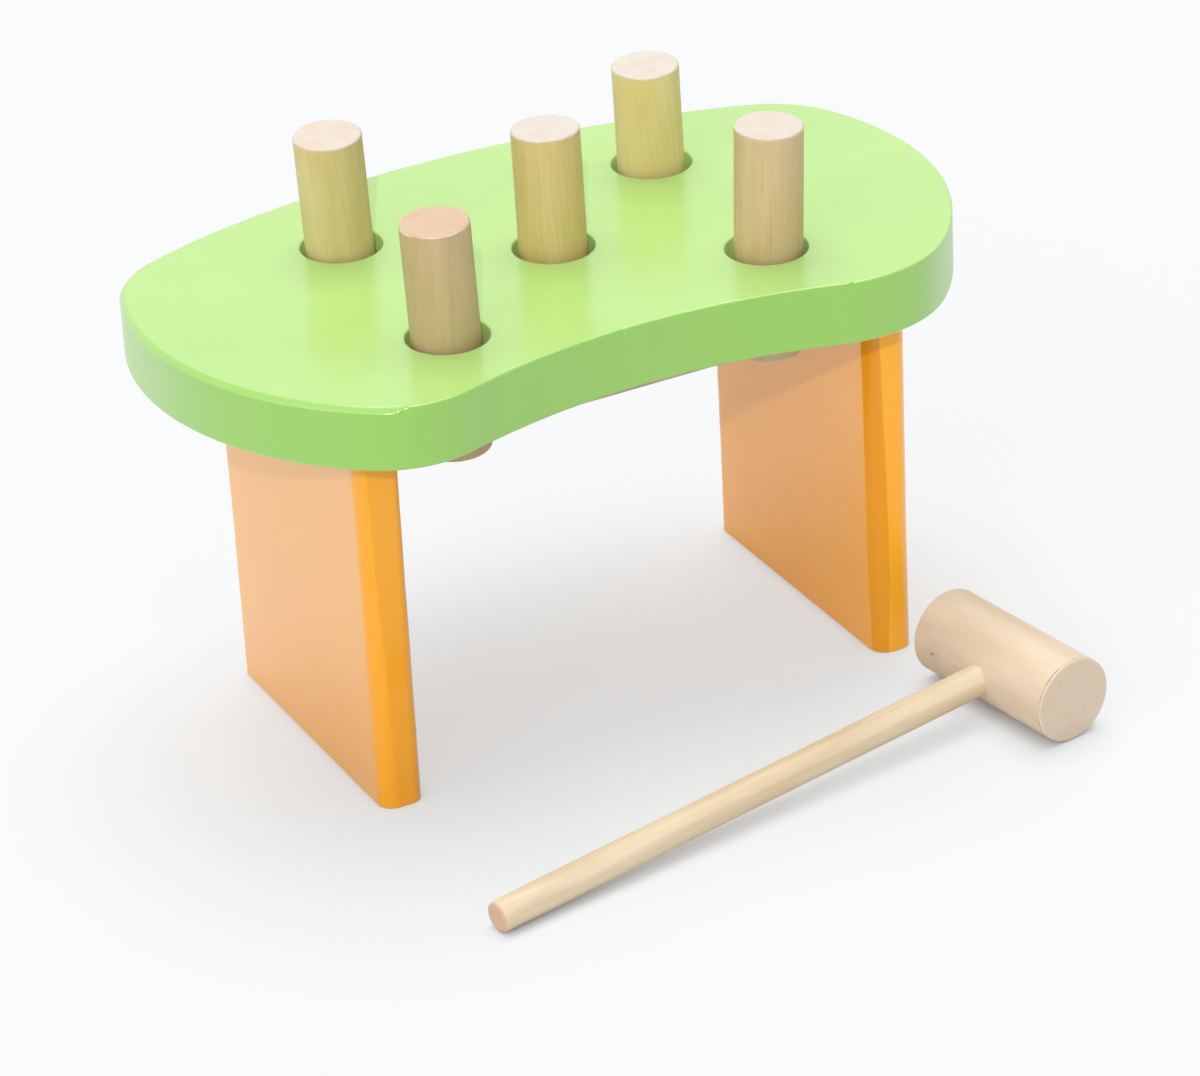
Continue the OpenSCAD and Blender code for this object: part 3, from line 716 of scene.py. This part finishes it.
def peg_shape(seed, chips):
    def shape(rows, a):
        r = np.hypot(rows[..., 0], rows[..., 1])
        z = rows[..., 2]
        flutes = np.array([noise.fractal(v, 0.7, 2.0, 3) for v in circle(a, 2.6, seed * 7.7)])
        fine = np.array([noise.noise(v) for v in circle(a, 9, seed * 3.1)])
        bow = np.array([noise.noise(Vector((v / 26, seed * 2.3, 0.0))) for v in z[:, 0]])
        give = 0.045 + 0.04 * flutes[None] + 0.012 * fine[None] + 0.02 * bow[:, None]
        scale = drawn_in(r, np.maximum(give, 0) * ramp(r, 6, 12))
        rim = np.array([noise.fractal(v, 0.6, 2.0, 3) for v in circle(a, 5, seed * 5.5)])
        near_top = ramp(z, PEG_LEN - 2.2, PEG_LEN - 0.4) * ramp(r, 10.2, 11.6)
        scale -= near_top * np.maximum(rim, -0.3)[None] * 0.018
        for angle, width, depth in chips:
            gap = (np.degrees(a) - angle + 180) % 360 - 180
            scale -= near_top * (depth / 12.0) * np.exp(-(gap / width) ** 2)[None]
        rows[..., :2] *= scale[..., None]
        return rows
    return shape


def head_shape(rows, a):
    r = np.hypot(rows[..., 0], rows[..., 1])
    z = rows[..., 2]
    wide = np.array([[noise.noise(p) for p in circle(a, 1.6, v / 22 + 4.2)] for v in z[:, 0]])
    rows[..., :2] *= drawn_in(r, (0.05 + 0.05 * wide) * ramp(r, 9, 15))[..., None]
    # The struck ends are a little hollow from use
    dish = 0.05 * (1 - ramp(r, 2, 13.5))
    rows[..., 2] += np.where(z < 0.5, dish, 0) - np.where(z > HEAD_LEN - 0.5, dish, 0)
    return rows


# Hand-planed flats of the handle: direction, distance from the axis, and how far each wanders
FLATS = ((100, 5.72, 0.2), (142, 5.64, 0.26), (187, 5.74, 0.2), (232, 5.7, 0.24),
         (280, 5.73, 0.2), (325, 5.68, 0.26), (12, 5.72, 0.2), (55, 5.76, 0.2))


def handle_shape(rows, a):
    limit = np.full(rows.shape[:2], HANDLE_R)
    for k, (direction, reach, wander) in enumerate(FLATS):
        for i, v in enumerate(rows[:, 0, 2]):
            drift = noise.fractal(Vector((v / 34, k * 3.7, 1.3)), 0.7, 2.0, 2)
            lean = math.radians(direction + 14 * noise.noise(Vector((v / 48, k * 5.1, 7.7))))
            c = np.cos(a - lean)
            flat = np.where(c > 0.5, (reach + wander * drift) / np.maximum(c, 0.5), HANDLE_R)
            limit[i] = np.minimum(limit[i], flat)
    # Softens the arrises between the flats
    for _ in range(3):
        limit = (np.roll(limit, 1, 1) + 2 * limit + np.roll(limit, -1, 1)) / 4
    rows[..., :2] *= (np.minimum(limit, HANDLE_R) / HANDLE_R)[..., None]
    return rows


make_board()
make_leg("left_leg", -1, ((3.2, 4.6, 0.1, 0, 0), (5.2, 5.4, 0.2, 0, 0),
                          (5.0, 5.2, 0.2, 0, 0), (4.6, 5.6, 0.45, 0.1, 0.4)))
make_leg("right_leg", 1, ((4.5, 5.6, 0.3, 0.2, 0), (5.4, 5.0, 0.2, 0, 0),
                          (5.2, 5.6, 0.2, 0, 0), (5.6, 6.6, 0.65, 0.1, 0.36)))

# For each peg: side base, dark and light, end tint, line round the rim (colour and depth),
# cracks (angle, two distances from the top, width, depth) and rim chips (angle, width, depth)
PEG_LOOKS = {
    "back_left": ((202, 180, 119), (177, 153, 90), (213, 195, 143), (210, 199, 184), ((168, 132, 92), 0.35),
                  ((-100, 17, 26, 0.5, 0.12), (-135, 36, 44, 0.4, 0.15)), ()),
    # The front left peg's pale line round the rim is a painted highlight on its top edge
    "front_left": ((185, 159, 112), (160, 134, 89), (195, 173, 132), (204, 178, 151), ((240, 226, 204), 0.7),
                   ((-96, 20, 30, 0.5, 0.12),), ((-150, 9, 0.5), (-70, 12, 0.4), (-125, 5, 0.3))),
    "centre": ((203, 179, 109), (178, 146, 77), (213, 191, 132), (210, 204, 194), ((168, 132, 92), 0.35),
               ((-132, 7, 41, 0.3, 0.25), (-92, 25, 44, 0.3, 0.15)), ()),
    "back_right": ((220, 198, 133), (194, 167, 101), (228, 208, 155), (209, 202, 190), ((168, 132, 92), 0.35),
                   ((-128, 8, 17, 0.3, 0.2), (-118, 5, 13, 0.3, 0.15)), ((-84, 8, 0.35),)),
    "front_right": ((198, 171, 124), (174, 139, 95), (209, 186, 144), (210, 202, 190), ((168, 132, 92), 0.35),
                    ((-130, 6, 23, 0.4, 0.2), (-116, 19, 45, 0.3, 0.3), (-46, 8, 44, 0.4, 0.3)),
                    ((-108, 4, 0.5),)),
}
for seed, (k, (base, dark, light, tint, (mark, strength), cracks, chips)) in enumerate(PEG_LOOKS.items(), 1):
    m = wood(k + "_peg_wood", peg_matrix(k), lin(*base), lin(*dark), lin(*light), seed, PEG_LEN,
             end_tint=lin(*tint), rim_mark=(0.55, 0.3, lin(*mark), strength),
             cracks=[(math.radians(a), PEG_LEN - lo, PEG_LEN - hi, w, d) for a, hi, lo, w, d in cracks])
    levels = worked_ends(PEG_R, PEG_LEN, 0.7, 0.7)
    o = turned_piece("turned_" + k + "_peg", m, peg_matrix(k), levels, PEG_POINTS, peg_shape(seed, chips))
    place_piece(o, k + "_peg", "peg_wood", k + "_peg")

head_matrix = mallet_matrix() @ rotation(-90, "X") @ Matrix.Translation((0, 0, -HEAD_LEN / 2))
head = wood("mallet_head_wood", head_matrix, lin(212, 190, 164), lin(197, 168, 135), lin(221, 204, 182), 7,
            HEAD_LEN, ring_depth=0.14, fibres=0.1, fleck=0.12, end_tint=lin(213, 197, 175),
            knots=((math.radians(-3), 10.7, 2.0),), rim_mark=(0.9, 0.28, lin(122, 92, 66), 0.8),
            cracks=((math.radians(-70), 6, 30, 0.3, 0.25), (math.radians(-105), 34, 52, 0.25, 0.2)))
levels = worked_ends(HEAD_R, HEAD_LEN, 1.0, 0.9, 0.1)
o = turned_piece("turned_mallet_head", head, head_matrix, levels, HEAD_POINTS, head_shape)
place_piece(o, "mallet", "beech", "mallet_head")

rod_matrix = mallet_matrix() @ rotation(90, "Y") @ Matrix.Translation((0, 0, -SOCKET))
rod = wood("mallet_handle_wood", rod_matrix, lin(209, 187, 155), lin(197, 168, 123), lin(225, 209, 181), 8,
           HANDLE_LEN, ring_depth=0.12, fibres=0.12, fleck=0.12, end_tint=lin(207, 174, 147),
           knots=((math.radians(-60), HANDLE_LEN - 14, 0.9),))
levels = worked_ends(HANDLE_R, HANDLE_LEN, 0.4, HANDLE_END, 0.0, 150)
o = turned_piece("whittled_mallet_handle", rod, rod_matrix, levels, HANDLE_POINTS, handle_shape)
place_piece(o, "mallet", "beech", "mallet_handle")

n = new_material("matt_rubber")
p = n.bench_coords()
bloom, grit = n.noise(p, 0.25, 3, 0.6), n.noise(p, 4.0, 2, 0.6)
c = n.mix(n.range(bloom, 0.3, 0.7), lin(38, 34, 28), lin(54, 49, 42))
rubber = n.finish(c, n.range(bloom, 0.3, 0.7, 0.62, 0.78), n.bump(grit, 0.00006, 0.5), Specular_IOR_Level=0.35)

n = new_material("thin_plywood")
p = n.bench_coords()
face_grain = n.noise(n.stretch(p, 0.04, 0.8, 0.0), 1.0, 4, 0.6)
pores = n.noise(n.stretch(p, 0.25, 3.0, 1.0), 1.0, 2, 0.5)
level = n.math("DIVIDE", n.minus(n.split(p)[2], BOTTOM - PLATE_T), PLATE_T)
core = n.times(n.range(level, 0.3, 0.34, 0, 1), n.range(level, 0.7, 0.66, 0, 1))
c = n.mix(n.range(face_grain, 0.35, 0.7), lin(206, 186, 152), lin(178, 152, 116))
c = n.mix(n.range(pores, 0.62, 0.75, 0, 0.5), c, lin(140, 112, 84))
c = n.mix(n.times(core, 0.65), c, lin(146, 124, 104))
plywood = n.finish(c, n.range(face_grain, 0.3, 0.7, 0.6, 0.72), n.bump(pores, 0.00008, 0.5),
                   Specular_IOR_Level=0.4)

n = new_material("plated_screws")
p = n.bench_coords()
tarnish, scuff = n.noise(p, 0.8, 3, 0.6), n.noise(p, 3.0, 2, 0.5)
c = n.mix(n.range(tarnish, 0.35, 0.65), lin(196, 198, 200), lin(168, 166, 158))
zinc = n.finish(c, n.range(scuff, 0.3, 0.7, 0.26, 0.42), n.bump(scuff, 0.00003, 0.4), Metallic=1.0)

dowel = wood("dowel_wood", bench_place(-LEG_X, LEG_Y, 125.0), lin(222, 200, 168), lin(192, 162, 128),
             lin(232, 214, 188), 11, 34.0)

# The nodes of the frame that are shown as they are
CAD_LOOKS = {"leg_dowels": dowel, "ring_plate": plywood, "plate_screws": zinc}
for node, o in frame["nodes"].items():
    m = rubber if node.endswith("_ring") else CAD_LOOKS.get(node)
    if m:
        for s in o.material_slots:
            s.material = m

# The floor is lifted towards the backdrop, as the camera sees it and less so in reflections
BACKDROP = (0.925, 0.94, 0.955, 1)
LIFT_SEEN, LIFT_MIRRORED = 0.6, 0.45
# Close under the toy, within this many metres, it keeps more of its own shade
SHADE_REACH = 0.009

n = new_material("pale_floor")
pale = n.fill(n.add("ShaderNodeBsdfDiffuse"), Color=(0.80, 0.815, 0.84, 1))
lift = n.fill(n.add("ShaderNodeEmission"), Color=BACKDROP)
near_toy = n.fill(n.add("ShaderNodeAmbientOcclusion", samples=8), Distance=SHADE_REACH)
lifted = n.times(n.range(near_toy.outputs["AO"], 0.05, 0.7), LIFT_SEEN)
ray = n.add("ShaderNodeLightPath").outputs
direct = n.math("MAXIMUM", ray["Is Camera Ray"], n.times(ray["Is Glossy Ray"], LIFT_MIRRORED))
floor_mat = n.surface(n.mix_shaders(n.times(direct, lifted), pale, lift))
mesh = bpy.data.meshes.new("floor")
mesh.from_pydata([(-8, -8, 0), (8, -8, 0), (8, 8, 0), (-8, 8, 0)], [], [(0, 1, 2, 3)])
floor = bpy.data.objects.new("floor", mesh)
mesh.materials.append(floor_mat)
bpy.context.collection.objects.link(floor)

# The world lights the toy softly and shows itself as the backdrop
n = Nodes(bpy.data.worlds.new("soft_studio"), "ShaderNodeOutputWorld")
soft = n.fill(n.add("ShaderNodeBackground"), Color=(0.97, 0.985, 1.0, 1), Strength=0.47)
shown = n.fill(n.add("ShaderNodeBackground"), Color=BACKDROP, Strength=1.0)
ray = n.add("ShaderNodeLightPath").outputs
seen = n.chain("MAXIMUM", ray["Is Camera Ray"], ray["Is Glossy Ray"], ray["Is Transmission Ray"])
bpy.context.scene.world = n.surface(n.mix_shaders(seen, soft, shown))

# Lamps: strength, spread in degrees, direction towards the lamp, tint
LAMPS = {"overhead_softbox": (2.2, 45, (0.1, 0.24, 1.0), (1.0, 0.991, 0.978)),
         "front_softbox": (1.02, 1.6, (-0.7, -1.3, 1.0), (1.0, 0.97, 0.93)),
         "left_softbox": (0.8, 60, (-1.0, -0.45, 0.45), (1.0, 0.985, 0.97))}
for name, (energy, spread, towards, tint) in LAMPS.items():
    lamp = bpy.data.lights.new(name, "SUN")
    lamp.energy = energy
    lamp.angle = math.radians(spread)
    lamp.color = tint
    sun = bpy.data.objects.new(name, lamp)
    sun.rotation_euler = Vector(towards).to_track_quat("Z", "Y").to_euler()
    bpy.context.collection.objects.link(sun)
# The front lamp lights all but the floor, which is left to the soft light above
lit = bpy.data.collections.new("lit_from_the_front")
for o in bpy.context.scene.objects:
    if o.type == "MESH" and o != floor:
        lit.objects.link(o)
bpy.data.objects["front_softbox"].light_linking.receiver_collection = lit
